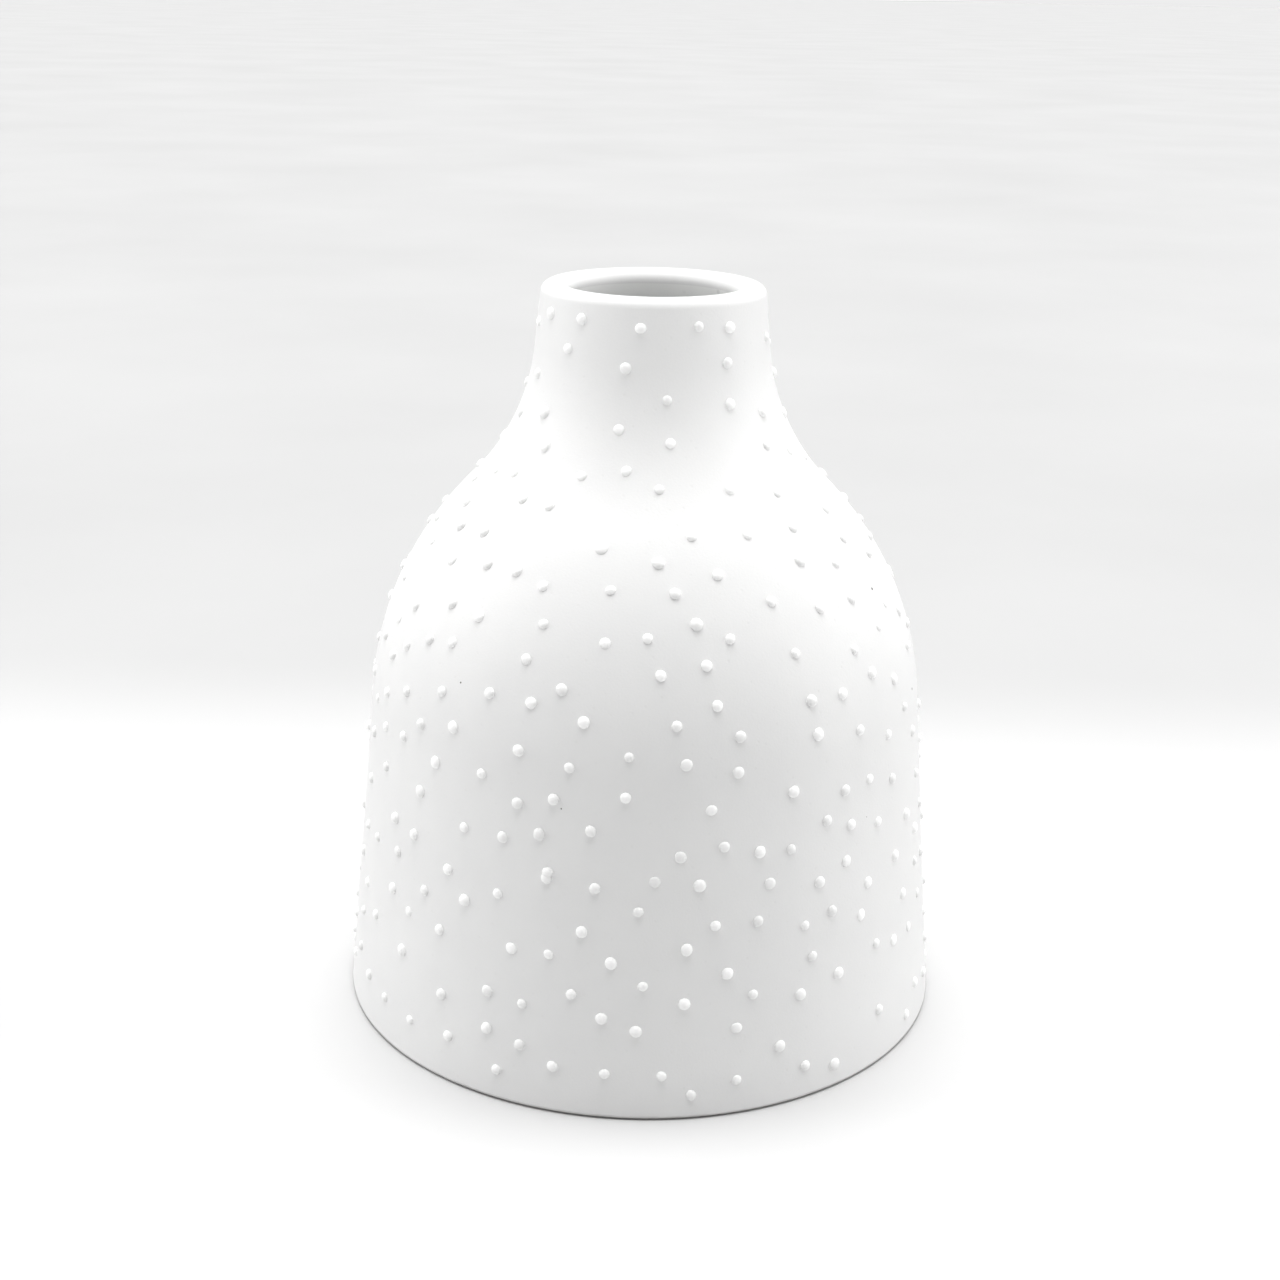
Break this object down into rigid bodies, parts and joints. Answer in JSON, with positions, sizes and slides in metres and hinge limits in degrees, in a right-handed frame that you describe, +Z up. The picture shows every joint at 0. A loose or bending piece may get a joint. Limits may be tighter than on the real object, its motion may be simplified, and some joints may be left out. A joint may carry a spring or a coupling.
{
  "type": "bud vase",
  "caption": "Small hollow ceramic bud vase: tapered round body, rounded shoulder, narrow flared neck with an open mouth, dotted all over with tiny raised slip beads.",
  "frame": {"origin": "centre of the foot ring, on the surface that the vase stands on", "axes": "+Z up along the axis that the body is turned on, from the foot to the mouth; +X and +Y are any two level directions, because the body is round"},
  "size_m": [0.1014, 0.1015, 0.121],
  "materials": {
    "bisque_porcelain": "matte, unglazed outside; the inside is taken to have a thin clear glaze",
    "white_slip": "smooth, satin"
  },
  "bodies": {
    "root": {"vase_body": "bisque_porcelain", "slip_bead_01": "white_slip", "slip_bead_02": "white_slip", "slip_bead_03": "white_slip", "slip_bead_04": "white_slip", "slip_bead_05": "white_slip", "slip_bead_06": "white_slip", "slip_bead_07": "white_slip", "slip_bead_08": "white_slip", "slip_bead_09": "white_slip", "slip_bead_10": "white_slip", "slip_bead_11": "white_slip", "slip_bead_12": "white_slip", "slip_bead_13": "white_slip", "slip_bead_14": "white_slip", "slip_bead_15": "white_slip", "slip_bead_16": "white_slip", "slip_bead_17": "white_slip", "slip_bead_18": "white_slip", "slip_bead_19": "white_slip", "slip_bead_20": "white_slip", "slip_bead_21": "white_slip", "slip_bead_22": "white_slip", "slip_bead_23": "white_slip", "slip_bead_24": "white_slip", "slip_bead_25": "white_slip", "slip_bead_26": "white_slip", "slip_bead_27": "white_slip", "slip_bead_28": "white_slip", "slip_bead_29": "white_slip", "slip_bead_30": "white_slip", "slip_bead_31": "white_slip", "slip_bead_32": "white_slip", "slip_bead_33": "white_slip", "slip_bead_34": "white_slip", "slip_bead_35": "white_slip", "slip_bead_36": "white_slip", "slip_bead_37": "white_slip", "slip_bead_38": "white_slip", "slip_bead_39": "white_slip", "slip_bead_40": "white_slip", "slip_bead_41": "white_slip", "slip_bead_42": "white_slip", "slip_bead_43": "white_slip", "slip_bead_44": "white_slip", "slip_bead_45": "white_slip", "slip_bead_46": "white_slip", "slip_bead_47": "white_slip", "slip_bead_48": "white_slip", "slip_bead_49": "white_slip", "slip_bead_50": "white_slip", "slip_bead_51": "white_slip", "slip_bead_52": "white_slip", "slip_bead_53": "white_slip", "slip_bead_54": "white_slip", "slip_bead_55": "white_slip", "slip_bead_56": "white_slip", "slip_bead_57": "white_slip", "slip_bead_58": "white_slip", "slip_bead_59": "white_slip"}
  },
  "joints": []
}
